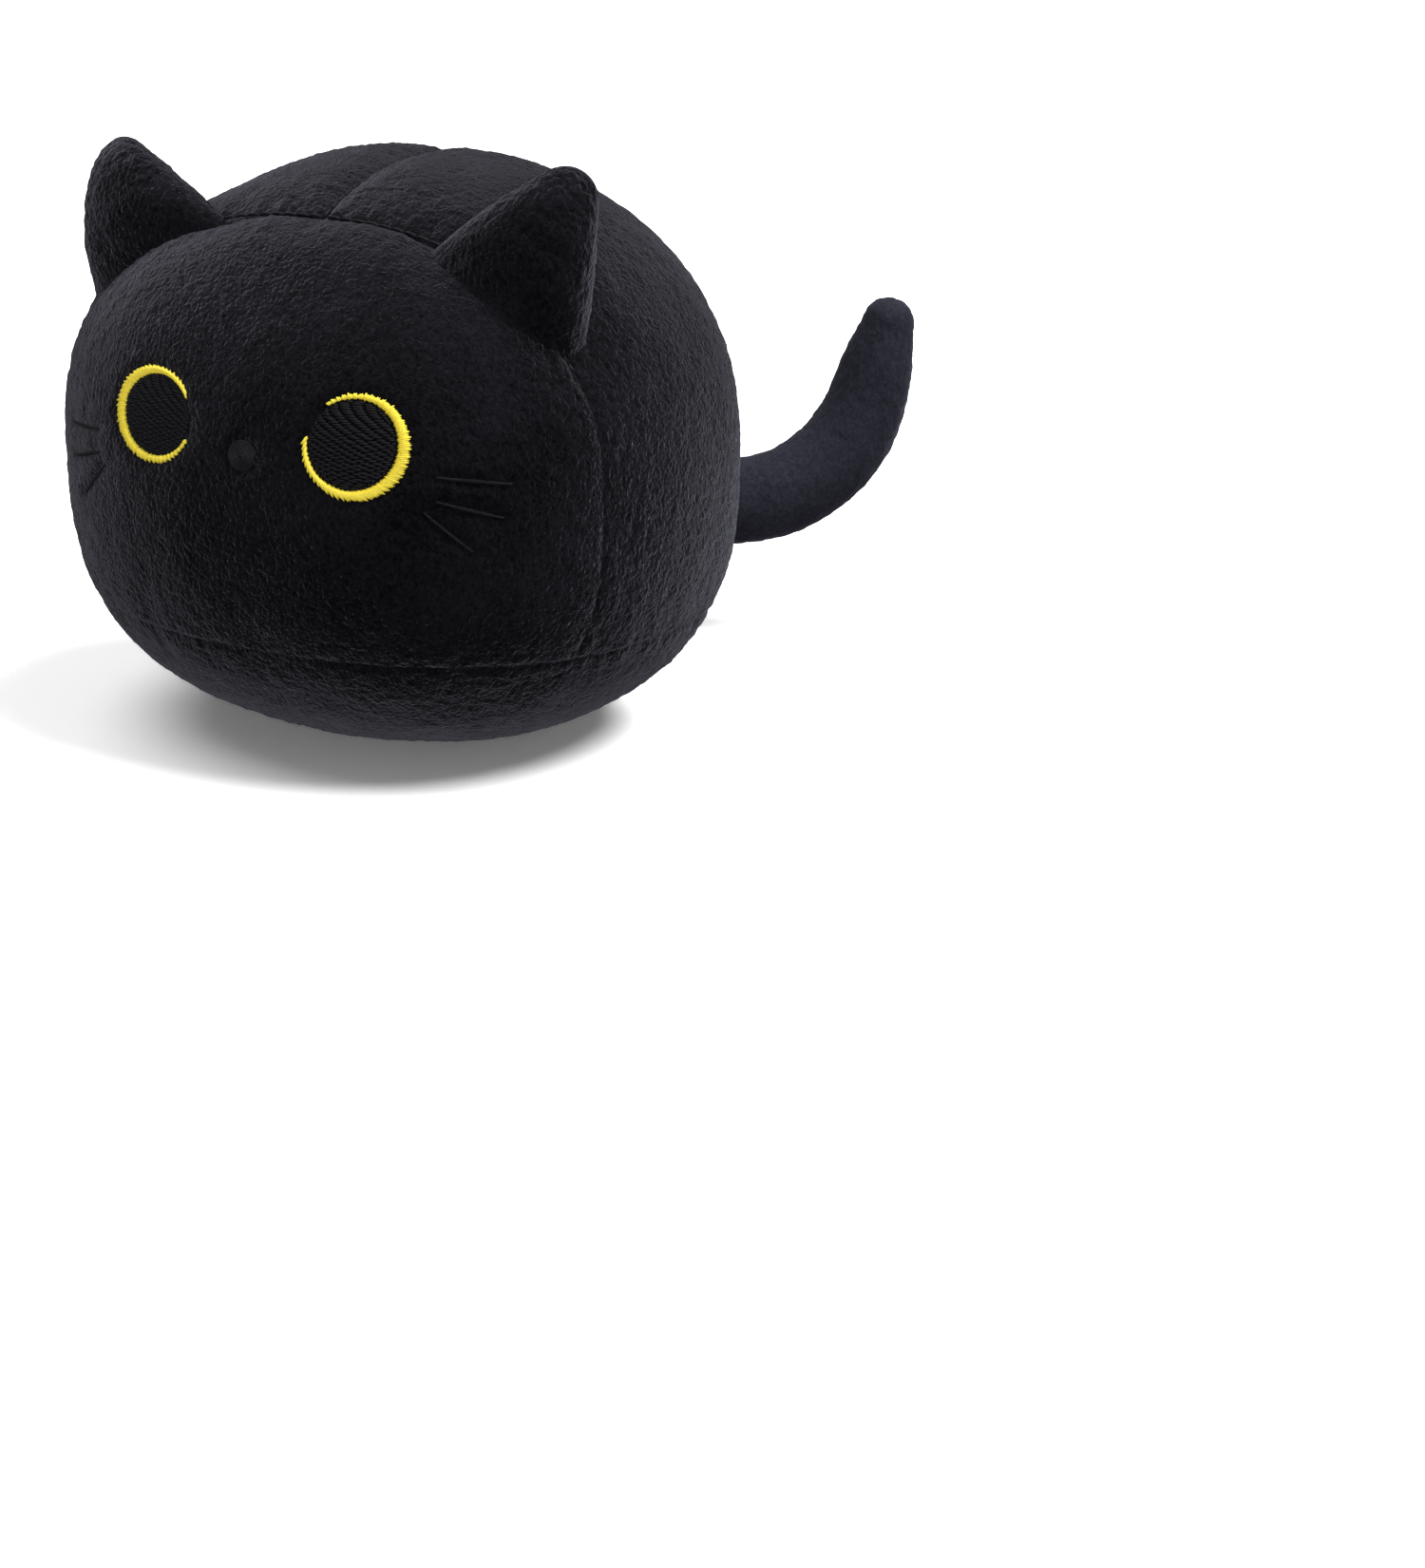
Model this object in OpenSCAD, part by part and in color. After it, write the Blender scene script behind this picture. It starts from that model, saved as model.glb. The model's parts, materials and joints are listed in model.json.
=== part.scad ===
// Stuffed toy cat: a round body sewn from four panels, two ears, a curled tail and an
// embroidered face. The cat faces -Y, its own left is +X, and it rests on the plane z = 0.
// Heights are measured from the widest section of the body unless a comment says otherwise.

/* [Body] */
// Overall width of the body
body_w = 200; // [170:2:240]
// Distance from the widest section to the front of the face
front_d = 98; // [82:1:118]
// Distance from the widest section to the back
back_d = 69.5; // [60:0.5:84]
// Height of the dome above the widest section
dome_h = 84; // [76:1:100]
// Depth of the round underside below the widest section
under_d = 85.5; // [75:0.5:103]
// How far the underside is pressed flat where it rests
flat_d = 3; // [2:0.5:5]

/* [Fabric and seams] */
// Thickness of the plush fabric
fabric_t = 2; // [1.5:0.1:3]
// Width of the groove between two panels, which the seam fills
seam_gap = 0.8; // [0.4:0.1:1.2]
// Distance of the face seam in front of the widest section
face_seam = 55; // [45:1:62]
// Distance of the base seam below the widest section
base_seam = 44; // [36:1:52]

/* [Ears] */
// Distance of each ear's base centre to the side of the middle
ear_side = 59; // [54:1:66]
// Distance of each ear's base centre in front of the widest section
ear_front = 56; // [50:1:62]
// Length of the ear along its base
ear_len = 52; // [44:1:60]
// Thickness of the ear at its base
ear_t = 25; // [20:1:30]
// Rise of the ear's tip above its base centre
ear_rise = 30; // [25:1:36]
// Distance of the ear's tip outward from its base centre
ear_out = 18; // [12:1:22]
// Distance of the ear's tip backward from its base centre
ear_back = 12; // [6:1:16]
// Slope of the ear's base, which falls toward the side
ear_slope = 33; // [26:1:38]
// Turn of the ear's base, whose outer end lies further back
ear_turn = 10; // [0:1:14]

/* [Tail] */
// Depth of the tail's root below the widest section
tail_drop = 37; // [34:1:40]
// Direction of the tail, turned from straight back toward the cat's left
tail_turn = 50; // [30:1:60]
// Straight length of the tail from its root to where it curls up
tail_len = 69.5; // [66:0.5:84]
// Radius of the curl
curl_r = 45; // [38:1:54]
// Angle through which the tail curls up
curl_turn = 77; // [64:1:90]
// Straight length after the curl
tail_end_len = 25; // [18:1:30]
// Radius of the tail where it is thickest
tail_r = 14.2; // [12:0.2:17]
// Radius of the tail near its tip
tip_r = 8.8; // [7.4:0.2:10.6]
// Distance along the tail from its root to where it starts to narrow
taper_at = 90; // [75:1:108]
// Distance along the tail from its root to where it bends
bend_at = 58; // [50:1:62]

/* [Face] */
// Distance of the left eye's centre to the side of the middle
left_eye_side = 33; // [29:0.5:38]
// The same for the right eye
right_eye_side = 31; // [29:0.5:38]
// Height of the eyes
eye_up = 19; // [14:0.5:24]
// Outer radius of an eye
eye_r = 15; // [12:0.5:17]
// Greatest width of the eye's stitched outline
eye_stroke = 4.2; // [3:0.1:5]
// Height of the nose
nose_up = 12.8; // [8:0.2:16]
// Width of the nose
nose_w = 8; // [7:0.5:10]
// Height that the embroidery stands above the fabric
stitch_t = 0.9; // [0.5:0.1:1.5]

/* [Hidden] */

half_w = body_w / 2;
half_gap = seam_gap / 2;
stand_h = under_d - flat_d;      // height of the widest section above the floor
front_round = 2.32;              // exponents of the rounded sections: 2 is an ellipse
back_round = 1.9;
dome_round = 2.26;
under_round = 2.58;

plush = "#25242c";
plush_dark = "#1c1b22";
fill_white = "#e9e7e2";
thread_black = "#101014";
thread_yellow = "#efd435";
thread_grey = "#3a3a42";

seam_steps = 14;                 // points along half of the face seam
side_steps = 14;                 // points from the face seam round to the back
top_steps = 4;
front_steps = 16;
face_rings = 6;
base_rings = 4;

skin_in = 1 - fabric_t / half_w; // the inside of the fabric, as a share of the outside
thread_deep = 0.5;               // depth of the seam's thread in its groove
thread_out = 1 - thread_deep / half_w;

// ---- Points, rows and closed solids ----

function power(v, n) = pow(max(v, 0), n);
function mix(a, b, t) = a + (b - a) * t;
function mirrored(p) = [-p[0], p[1], p[2]];
function scaled(rows, k) = [for (row = rows) [for (p = row) p * k]];
function lifted(p, t) = p * (1 + t / norm(p));
function backward(list) = [for (i = [len(list) - 1 : -1 : 0]) list[i]];
function unit(v) = v / norm(v);

// Triangles between two rows of points, where a row of one point is a tip
function strip(a, b) =
    len(a) == 1 ? [for (i = [0 : len(b) - 2]) [a[0], b[i + 1], b[i]]] :
    len(b) == 1 ? [for (i = [0 : len(a) - 2]) [a[i], a[i + 1], b[0]]] :
    [for (i = [0 : len(a) - 2]) each [[a[i], a[i + 1], b[i + 1]], [a[i], b[i + 1], b[i]]]];
function sheet(rows) = [for (i = [0 : len(rows) - 2]) each strip(rows[i], rows[i + 1])];
function turned(tris) = [for (t = tris) [t[0], t[2], t[1]]];

// The outline of an open sheet of rows, once around
function outline(rows) = let (n = len(rows) - 1) concat(
    rows[0],
    [for (i = [1 : n]) rows[i][len(rows[i]) - 1]],
    backward(rows[n]),
    [for (i = [n - 1 : -1 : 0]) rows[i][0]]);

// A slab between an outer and an inner sheet
function slab(outer, inner) = concat(
    sheet(outer), turned(sheet(inner)), turned(strip(outline(outer), outline(inner))));
// The same for sheets whose rows close on themselves and end in a tip
function cap(outer, inner) = concat(
    sheet(outer), turned(sheet(inner)), turned(strip(outer[0], inner[0])));
// The same for tubes that are open at both ends
function tube(outer, inner) = let (n = len(outer) - 1) concat(
    cap(outer, inner), strip(outer[n], inner[n]));

grid = 1e-4;                     // points are rounded to this, so that neighbours agree
function rounded(p) = [for (v = p) round(v / grid) * grid];
module solid(tris) {
    fine = [for (t = tris) [for (p = t) rounded(p)]];
    kept = [for (t = fine) if (t[0] != t[1] && t[1] != t[2] && t[2] != t[0]) t];
    polyhedron(points = [for (t = kept) each t],
        faces = [for (i = [0 : len(kept) - 1]) [3 * i, 3 * i + 1, 3 * i + 2]]);
}

// ---- The rounded body surface ----

function depth(y) = y < 0 ? front_d : back_d;
function roundness(y) = y < 0 ? front_round : back_round;
// Size of the level section at a height, as a share of the widest one
function level(z) = let (r = z > 0 ? dome_round : under_round)
    power(1 - power(abs(z) / (z > 0 ? dome_h : under_d), r), 1 / r);
// Reach of a point across the widest section: 1 on its edge
function reach(x, y) = let (q = roundness(y))
    power(power(abs(x) / half_w, q) + power(abs(y) / depth(y), q), 1 / q);
function around(angle, z) = let (x = cos(angle), y = sin(angle), r = level(z) / reach(x, y))
    [r * x, r * y, z];
function face_y(x, z) = -front_d
    * power(power(level(z), front_round) - power(abs(x) / half_w, front_round), 1 / front_round);
function back_y(x, z) = back_d
    * power(power(level(z), back_round) - power(abs(x) / half_w, back_round), 1 / back_round);
function side_x(y, z) = let (q = roundness(y))
    half_w * power(power(level(z), q) - power(abs(y) / depth(y), q), 1 / q);
function top_z(x, y) = dome_h * power(1 - power(reach(x, y), dome_round), 1 / dome_round);
// The point of the surface straight out from the middle through p
function on_body(p) = let (r = p[2] > 0 ? dome_round : under_round, c = p[2] > 0 ? dome_h : under_d)
    p / power(power(reach(p[0], p[1]), r) + power(abs(p[2]) / c, r), 1 / r);
function on_face(x, z) = [x, face_y(x, z), z];

// ---- Edges that neighbouring panels share ----

seam_front = -face_seam - half_gap;
seam_back = -face_seam + half_gap;
rim_z = -base_seam + half_gap;
lower_rim_z = -base_seam - half_gap;

// Half of the face seam, from the base seam up to the centre seam
function seam_edge(y) = let (top = top_z(half_gap, y))
    [for (i = [0 : seam_steps]) let (z = mix(top, rim_z, pow(1 - i / seam_steps, 2))) [side_x(y, z), y, z]];
face_edge = seam_edge(seam_front);
side_edge = seam_edge(seam_back);
corner = face_edge[0];
front_arc = let (a = atan2(corner[1], corner[0]))
    [for (i = [0 : front_steps]) around(mix(-180 - a, a, i / front_steps), rim_z)];

// Rows of the left side panel, from the base seam up to the top of the dome
function side_row(start) = let (
        a = atan2(start[1], start[0]),
        b = atan2(back_y(half_gap, start[2]), half_gap))
    [for (i = [0 : side_steps]) around(mix(a, b, i / side_steps), start[2])];
dome_top = top_z(half_gap, 0);
crown_starts = let (z0 = side_edge[seam_steps][2])
    [for (i = [1 : top_steps - 1]) let (z = mix(dome_top, z0, pow(1 - i / top_steps, 2)))
        [half_gap, face_y(half_gap, z), z]];
side_rows = concat([for (p = side_edge) side_row(p)], [for (p = crown_starts) side_row(p)],
    [[[half_gap, 0, dome_top]]]);

// The panel's edge along the centre seam, from the face seam over the dome to the base seam
centre_edge = concat(
    [for (i = [seam_steps : len(side_rows) - 1]) side_rows[i][0]],
    [for (i = [len(side_rows) - 2 : -1 : 0]) side_rows[i][side_steps]]);

rim = concat(front_arc, side_rows[0], [for (p = backward(side_rows[0])) mirrored(p)], [front_arc[0]]);
function at_level(row, z) = [for (p = row) around(atan2(p[1], p[0]), z)];
lower_rim = at_level(rim, lower_rim_z);

face_mid = 8;                    // height of the point that the face's rings close on
face_rows = let (edge = concat(front_arc, face_edge, backward([for (p = face_edge) mirrored(p)])))
    concat(
        [for (i = [0 : face_rings - 1]) let (t = 1 - i / face_rings)
            [for (p = edge) on_face(p[0] * t, mix(face_mid, p[2], t))]],
        [[on_face(0, face_mid)]]);
base_rows = concat(
    [for (i = [0 : base_rings]) at_level(rim, -mix(-lower_rim_z, stand_h, sin(90 * i / base_rings)))],
    [[[0, 0, -stand_h]]]);
function both_edges(edge) = [for (p = edge) [mirrored(p), p]];
face_seam_rows = let (
        front = concat(face_edge, backward([for (p = face_edge) mirrored(p)])),
        back = concat(side_edge, backward([for (p = side_edge) mirrored(p)])))
    [front, back];
base_seam_rows = [lower_rim, rim];

// ---- Body ----

module raised() { translate([0, 0, stand_h]) children(); }

// Filling of the body, up to the inside of the fabric
module body_stuffing() {
    skin = scaled(side_rows, skin_in);
    left = sheet(skin);
    right = turned([for (t = left) [for (p = t) mirrored(p)]]);
    seams = concat(
        turned(sheet(scaled(face_seam_rows, skin_in))),
        sheet(scaled(both_edges(centre_edge), skin_in)));
    under = concat(turned(sheet(scaled(base_rows, skin_in))), sheet(scaled(base_seam_rows, skin_in)));
    color(fill_white) raised() solid(concat(left, right, sheet(scaled(face_rows, skin_in)), seams, under));
}

module face_panel() { color(plush_dark) raised() solid(cap(face_rows, scaled(face_rows, skin_in))); }
module side_panel() { color(plush) raised() solid(slab(side_rows, scaled(side_rows, skin_in))); }
module left_side_panel() { side_panel(); }
module right_side_panel() { mirror([1, 0, 0]) side_panel(); }
module base_panel() { color(plush) raised() solid(cap(base_rows, scaled(base_rows, skin_in))); }

module seam_thread(rows) {
    color(thread_black) raised() solid(slab(scaled(rows, thread_out), scaled(rows, skin_in)));
}
module face_seam_thread() { seam_thread(face_seam_rows); }
module centre_seam_thread() { seam_thread(both_edges(centre_edge)); }
module base_seam_thread() {
    color(thread_black) raised()
        solid(tube(scaled(base_seam_rows, thread_out), scaled(base_seam_rows, skin_in)));
}

// ---- Ears ----

ear_steps = 8;                   // rows from base to tip
ear_sides = 10;                  // points along half of the ear's outline
ear_clear = 0.7;                 // gap to the body under the middle of the ear
ear_mid_clear = 2;               // gap part of the way out, where the ear swings
ear_edge_clear = 3.2;            // gap at the ear's rim, which swings furthest
ear_mid_share = 0.6;             // how far out the middle gap is reached
ear_seam = 1.2;                  // angle left free at each end, for the seam between front and back
ear_crowd = 1.5;                 // how much closer the rows lie toward the tip
ear_point = 1.25;                // roundness of the ear's outline: more is blunter at the tip
ear_belly = 0.62;                // less is fuller
ear_base = on_body([ear_side, -ear_front, top_z(ear_side, -ear_front)]);
ear_along = unit([cos(ear_slope) * cos(ear_turn), cos(ear_slope) * sin(ear_turn), -sin(ear_slope)]);
ear_tip = ear_base + [ear_out, ear_back, ear_rise];
ear_facing = unit(cross(ear_along, ear_tip - ear_base));

// Half a row around the ear's base, drawn in by a margin and a share, at a gap from the body
function ear_ring(side, margin, share, gap) = [for (i = [0 : ear_sides]) let (
        a = side + mix(ear_seam, 180 - ear_seam, i / ear_sides),
        out = (ear_len / 2 - margin) * cos(a) * ear_along + (ear_t / 2 - margin) * sin(a) * ear_facing)
    lifted(on_body(ear_base + share * out), gap)];
function ear_rows(ring, margin) = let (
        mid = lifted(ear_base, ear_edge_clear - margin / 2),
        tip = ear_tip - 1.5 * margin * unit(ear_tip - ear_base))
    concat(
        [for (i = [0 : ear_steps - 1]) let (
                s = 1 - pow(1 - i / ear_steps, ear_crowd),
                f = power(1 - pow(s, ear_point), ear_belly))
            [for (p = ring) mix(mid, tip, s) + f * (p - mid)]],
        [[tip]]);
function ear_skin(side, margin) = ear_rows(ear_ring(side, margin, 1, ear_edge_clear - margin / 2), margin);
function ear_whole_ring(share, gap) = let (
        ring = concat(ear_ring(0, fabric_t, share, gap), ear_ring(180, fabric_t, share, gap)))
    concat(ring, [ring[0]]);
function ear_filling() = let (
        full = ear_whole_ring(1, ear_edge_clear - fabric_t / 2),
        under = ear_whole_ring(ear_mid_share, ear_mid_clear))
    concat(
        sheet(ear_rows(full, fabric_t)),
        turned(sheet([full, under, [lifted(ear_base, ear_clear)]])));

module ear_cover(side) { raised() solid(slab(ear_skin(side, 0), ear_skin(side, fabric_t))); }
module ear_front() { color(plush_dark) ear_cover(0); }
module ear_back() { color(plush) ear_cover(180); }
module ear_stuffing() { color(fill_white) raised() solid(ear_filling()); }

module left_ear_front() { ear_front(); }
module left_ear_back() { ear_back(); }
module left_ear_stuffing() { ear_stuffing(); }
module right_ear_front() { mirror([1, 0, 0]) ear_front(); }
module right_ear_back() { mirror([1, 0, 0]) ear_back(); }
module right_ear_stuffing() { mirror([1, 0, 0]) ear_stuffing(); }

// ---- Tail ----

tail_sides = 16;
tail_step = 9;                   // greatest distance between rows along the tail
root_thin = 4;                   // half the thickness where the tail is sewn flat
root_tall = 17;                  // half the height there
root_clear = 6;                  // from the body's surface to the tail's hinge
bend_gap = 1.2;                  // clearance around the ball at the bend
round_at = 22;                   // distance from the root at which the tail is fully round
root_sink = 2;                   // from the root's height down to the hinge
tail_taper = 3;                  // how late the tail narrows: 1 is an even taper

tail_hinge = [0, back_y(0, -tail_drop) + root_clear, -tail_drop - root_sink];
tail_way = [sin(tail_turn), cos(tail_turn), 0];
tail_across = [cos(tail_turn), -sin(tail_turn), 0];
curl_len = curl_r * curl_turn * PI / 180;
tail_all = tail_len + curl_len + tail_end_len;

// Point of the tail's middle line at a distance along it, and the direction there
function curl_angle(s) = min(max(s - tail_len, 0), curl_len) / curl_r * 180 / PI;
function tail_mid(s) = let (a = curl_angle(s), rest = max(s - tail_len - curl_len, 0))
    tail_hinge + tail_way * (min(s, tail_len) + curl_r * sin(a) + rest * cos(a))
    + [0, 0, curl_r * (1 - cos(a)) + rest * sin(a)];
function tail_up(s) = let (a = curl_angle(s)) -tail_way * sin(a) + [0, 0, cos(a)];
function tail_size(s) = mix(tail_r, tip_r, power((s - taper_at) / (tail_all - taper_at), tail_taper));
// Half thickness and half height of the flattened root
function root_size(s) = let (t = sin(90 * min(s / round_at, 1)))
    [mix(root_thin, tail_r, t), mix(root_tall, tail_r, t)];
function oval(mid, up, wide, tall) = [for (i = [0 : tail_sides]) let (a = 360 * i / tail_sides)
    mid + wide * cos(a) * tail_across + tall * sin(a) * up];
function root_ring(s, inset) = let (size = root_size(s))
    oval(tail_mid(s), tail_up(s), size[0] - inset, size[1] - inset);
function ring(mid, up, r) = oval(mid, up, r, r);
function steps(from, to) = let (n = ceil((to - from) / tail_step)) [for (i = [0 : n]) mix(from, to, i / n)];

// Rows over the rear half of a ball at the bend
function ball_rows(r) = concat(
    [[tail_mid(bend_at - r)]],
    [for (a = [30 : 20 : 90]) ring(tail_mid(bend_at - r * cos(a)), [0, 0, 1], r * sin(a))]);
function tip_rows(inset) = let (r = tip_r - inset) concat(
    [for (s = steps(bend_at, tail_all)) ring(tail_mid(s), tail_up(s), tail_size(s) - inset)],
    [for (a = [30, 60]) ring(tail_mid(tail_all + r * sin(a)), tail_up(tail_all), r * cos(a))],
    [[tail_mid(tail_all + r)]]);

socket_r = tail_r + bend_gap;
// Where a ring of radius r meets the socket around the ball
function socket_s(r) = bend_at - sqrt(socket_r * socket_r - r * r);
function root_rows(inset) = [for (s = steps(0, socket_s(tail_r - inset))) root_ring(s, inset)];

module tail_root_cover() { color(plush) raised() solid(tube(root_rows(0), root_rows(fabric_t))); }
module tail_root_stuffing() {
    // The filling bulges a little from the cover's flat end, where it is sewn on
    bulge = [
        [tail_mid(-0.6 * root_thin)],
        oval(tail_mid(-0.5 * root_thin), [0, 0, 1], 0.25 * root_thin, 0.8 * root_tall)];
    wide = asin((tail_r - fabric_t) / socket_r);
    socket = concat(
        [for (a = [wide : -wide / 3 : 1])
            ring(tail_mid(bend_at - socket_r * cos(a)), [0, 0, 1], socket_r * sin(a))],
        [[tail_mid(bend_at - socket_r)]]);
    color(fill_white) raised() solid(concat(sheet(concat(bulge, root_rows(fabric_t))), sheet(socket)));
}
module tail_tip_cover() { color(plush) raised() solid(cap(tip_rows(0), tip_rows(fabric_t))); }
module tail_tip_stuffing() {
    color(fill_white) raised() solid(sheet(concat(ball_rows(tail_r), tip_rows(fabric_t))));
}

// ---- Embroidered face ----

eye_sides = 36;
disc_sides = 24;
disc_rings = 3;
eye_flat = 0.96;                 // height of an eye as a share of its width
nose_flat = 0.94;
thin_stroke = 0.7;               // width of an eye's outline where it would meet in its gap
pupil_gap = 0.4;                 // from the outline to the pupil
edge_rise = 0.6;                 // height of the embroidery's edges, as a share of its middle
pupil_rise = 0.6;                // height of a pupil, as a share of the other embroidery
nose_rise = 1.3;
inner_r = eye_r - (eye_stroke + thin_stroke) / 2;

// Middle of an eye's inner circle, drawn toward its gap
function eye_in(gap_at) = (eye_stroke - thin_stroke) / 2 * [cos(gap_at), sin(gap_at)];
function eye_point(mid, gap_at, t, a) =
    mid + t * eye_in(gap_at) + mix(eye_r, inner_r, t) * [cos(a), eye_flat * sin(a)];

function eye_rows(mid, gap_at, gap, lift) = [for (i = [0 : eye_sides]) let (
        a = gap_at + gap / 2 + (360 - gap) * i / eye_sides)
    [for (t = [0, 0.5, 1]) let (q = eye_point(mid, gap_at, t, a))
        lifted(on_face(q[0], q[1]), lift * (t == 0.5 ? 1 : edge_rise))]];
module eye_outline(mid, gap_at, gap) {
    color(thread_yellow) raised()
        solid(slab(eye_rows(mid, gap_at, gap, stitch_t), eye_rows(mid, gap_at, gap, 0)));
}

function disc_rows(mid, r, flat, lift) = concat(
    [for (k = [0 : disc_rings - 1]) let (t = 1 - k / disc_rings)
        [for (i = [0 : disc_sides]) let (
                a = 360 * i / disc_sides,
                q = mid + r * t * [cos(a), flat * sin(a)])
            lifted(on_face(q[0], q[1]), lift * mix(1, edge_rise, t * t))]],
    [[lifted(on_face(mid[0], mid[1]), lift)]]);
module stitched_disc(mid, r, flat, lift) {
    raised() solid(cap(disc_rows(mid, r, flat, lift), disc_rows(mid, r, flat, 0)));
}
module pupil(mid, gap_at) {
    color(thread_black)
        stitched_disc(mid + eye_in(gap_at), inner_r - pupil_gap, eye_flat, pupil_rise * stitch_t);
}

left_gap = [151, 50];            // direction of the gap in the eye's outline, and its angle
right_gap = [4, 61];
left_eye = [left_eye_side, eye_up];
right_eye = [-right_eye_side, eye_up];
module left_eye_outline() { eye_outline(left_eye, left_gap[0], left_gap[1]); }
module right_eye_outline() { eye_outline(right_eye, right_gap[0], right_gap[1]); }
module left_pupil() { pupil(left_eye, left_gap[0]); }
module right_pupil() { pupil(right_eye, right_gap[0]); }
module nose() { color(thread_grey) stitched_disc([0, nose_up], nose_w / 2, nose_flat, nose_rise * stitch_t); }

// Ends of the three whiskers on the cat's left: distance to the side and height
whisker_lines = [[[54, 11.5], [70, 9.5]], [[54, 5], [68.5, 0.5]], [[51, 2], [62, -8.5]]];
whisker_w = 1.4;
whisker_end = 0.4;               // width at a whisker's ends, as a share of its middle
whisker_steps = 6;
function whisker_rows(ends, lift) = let (d = unit(ends[1] - ends[0]), n = [-d[1], d[0]])
    [for (i = [0 : whisker_steps]) let (
            p = mix(ends[0], ends[1], i / whisker_steps),
            w = whisker_w / 2 * mix(whisker_end, 1, sin(180 * i / whisker_steps)))
        [for (t = [1, 0, -1]) let (q = p + n * w * t)
            lifted(on_face(q[0], q[1]), lift * (t == 0 ? 1 : edge_rise))]];
module whiskers() {
    color(thread_black) raised() for (ends = whisker_lines)
        solid(slab(whisker_rows(ends, stitch_t), whisker_rows(ends, 0)));
}
module left_whiskers() { whiskers(); }
module right_whiskers() { mirror([1, 0, 0]) whiskers(); }

// ---- Build ----

body_stuffing();
face_panel();
left_side_panel();
right_side_panel();
base_panel();
face_seam_thread();
centre_seam_thread();
base_seam_thread();
left_ear_front();
left_ear_back();
left_ear_stuffing();
right_ear_front();
right_ear_back();
right_ear_stuffing();
tail_root_cover();
tail_root_stuffing();
tail_tip_cover();
tail_tip_stuffing();
left_eye_outline();
right_eye_outline();
left_pupil();
right_pupil();
nose();
left_whiskers();
right_whiskers();
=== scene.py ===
"""Plush cat: the sewn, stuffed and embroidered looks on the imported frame."""

import json
import math

import bmesh
import bpy
import numpy as np
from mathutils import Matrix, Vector, noise
from mathutils.bvhtree import BVHTree
from mathutils.kdtree import KDTree


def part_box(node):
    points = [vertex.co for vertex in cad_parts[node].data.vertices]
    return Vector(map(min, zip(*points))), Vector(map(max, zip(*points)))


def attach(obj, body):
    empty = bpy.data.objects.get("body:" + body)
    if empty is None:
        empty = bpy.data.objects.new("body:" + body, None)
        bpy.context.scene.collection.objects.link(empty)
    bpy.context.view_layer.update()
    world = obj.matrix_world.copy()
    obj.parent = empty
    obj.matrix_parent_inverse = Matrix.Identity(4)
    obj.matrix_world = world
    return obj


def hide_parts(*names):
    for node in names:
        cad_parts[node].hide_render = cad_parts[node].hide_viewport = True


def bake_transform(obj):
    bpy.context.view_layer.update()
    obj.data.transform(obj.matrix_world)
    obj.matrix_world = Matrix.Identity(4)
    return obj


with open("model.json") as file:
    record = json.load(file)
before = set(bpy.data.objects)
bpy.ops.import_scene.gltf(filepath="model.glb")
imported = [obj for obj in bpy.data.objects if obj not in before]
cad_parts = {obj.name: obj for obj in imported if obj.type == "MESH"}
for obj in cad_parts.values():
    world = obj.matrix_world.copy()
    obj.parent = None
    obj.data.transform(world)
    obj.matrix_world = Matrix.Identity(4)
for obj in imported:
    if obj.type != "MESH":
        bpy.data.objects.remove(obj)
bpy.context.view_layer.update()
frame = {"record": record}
MM = 0.001

# ---- Sizes of the body, from the frame ----

PANELS = ("face_panel", "left_side_panel", "right_side_panel", "base_panel")
boxes = {name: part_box(name) for name in PANELS + ("face_seam_thread", "base_seam_thread")}
HALF_W = max(boxes[name][1][0] for name in PANELS)
FRONT_D = -min(boxes[name][0][1] for name in PANELS)
BACK_D = max(boxes[name][1][1] for name in PANELS)
TOP_Z = max(boxes[name][1][2] for name in PANELS)
FACE_SEAM_Y = (boxes["face_seam_thread"][0][1] + boxes["face_seam_thread"][1][1]) / 2
BASE_SEAM_Z = boxes["base_panel"][1][2]
WIDEST_Z = 82.5 * MM                 # height of the body's widest section above the floor
FLAT_D = 3 * MM                      # how much the underside is pressed flat
FRONT_ROUND, BACK_ROUND, DOME_ROUND, UNDER_ROUND = 2.32, 1.9, 2.26, 2.58
CENTRE = np.array([0.0, 0.0, WIDEST_Z])
joints = {j["name"]: j for j in frame["record"]["behaviour"]["joints"]}

# Embroidery on the face: distances to the cat's left, and heights above the widest section
EYES = {"left": (32.6 * MM, 18.1 * MM), "right": (-31 * MM, 19.7 * MM)}
EYE_GAPS = {"left": (151, 50), "right": (4, 61)}    # where each outline is open, and how far, in degrees
EYE_R = {"left": 14.4 * MM, "right": 14.2 * MM}
EYE_FLAT = {"left": 0.97, "right": 0.9}             # height of each outline as a share of its width
STROKE, THIN_STROKE = 3.4 * MM, 0.7 * MM
NOSE, NOSE_R = (0.0, 12.8 * MM), 4 * MM
WHISKERS = (((54, 11.5), (70, 9.5)), ((54, 5), (68.5, 0.5)), ((51, 2), (62, -8.5)))   # ends, in millimetres
WHISKER_W = 0.9 * MM


# ---- Numbers and surfaces ----

def mix(a, b, t):
    return a + (b - a) * t


def smooth(t):
    t = np.clip(t, 0, 1)
    return t * t * (3 - 2 * t)


def unit(v):
    v = np.asarray(v, float)
    return v / np.linalg.norm(v, axis=-1, keepdims=True)


def reach(p):
    """How far out points lie, where 1 is the body's surface. Points are measured from the body's centre."""
    x, y, z = np.moveaxis(np.abs(p), -1, 0)
    q = np.where(p[..., 1] < 0, FRONT_ROUND, BACK_ROUND)
    depth = np.where(p[..., 1] < 0, FRONT_D, BACK_D)
    across = ((x / HALF_W) ** q + (y / depth) ** q) ** (1 / q)
    up = np.where(p[..., 2] > 0, TOP_Z - WIDEST_Z, WIDEST_Z + FLAT_D)
    r = np.where(p[..., 2] > 0, DOME_ROUND, UNDER_ROUND)
    return (across ** r + (z / up) ** r) ** (1 / r)


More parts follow.
